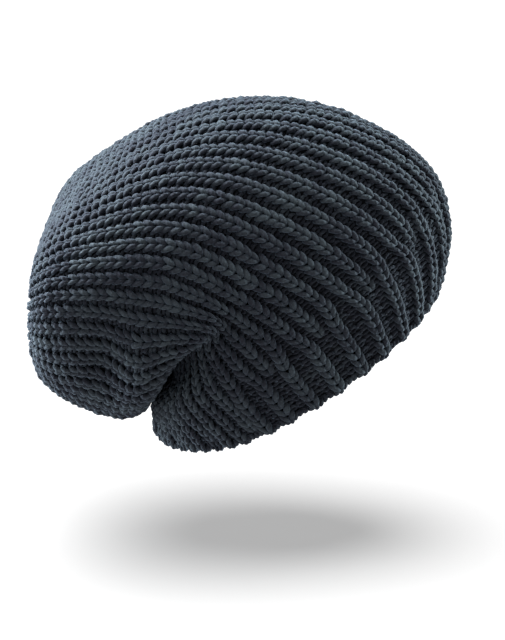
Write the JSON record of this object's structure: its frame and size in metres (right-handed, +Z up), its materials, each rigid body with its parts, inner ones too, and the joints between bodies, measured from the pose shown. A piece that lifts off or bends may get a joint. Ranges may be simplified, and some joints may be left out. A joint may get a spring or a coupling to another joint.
{
  "type": "slouchy knitted beanie",
  "caption": "Hollow ribbed knit beanie, open at the rim, with a deep soft crown that folds at the nape and hangs behind the head.",
  "frame": {"origin": "middle of the head opening, between the rim's lowest point at the nape and its highest at the brow", "axes": "+X towards the wearer's brow, +Y to the wearer's left, +Z up as worn; y = 0 is the middle plane"},
  "size_m": [0.2609, 0.2194, 0.2149],
  "materials": {
    "knit_wool": "matte chunky wool knit",
    "closing_wool": "matte wool yarn"
  },
  "bodies": {
    "root": {"knit_body": "knit_wool", "closing_yarn": "closing_wool"}
  },
  "joints": []
}
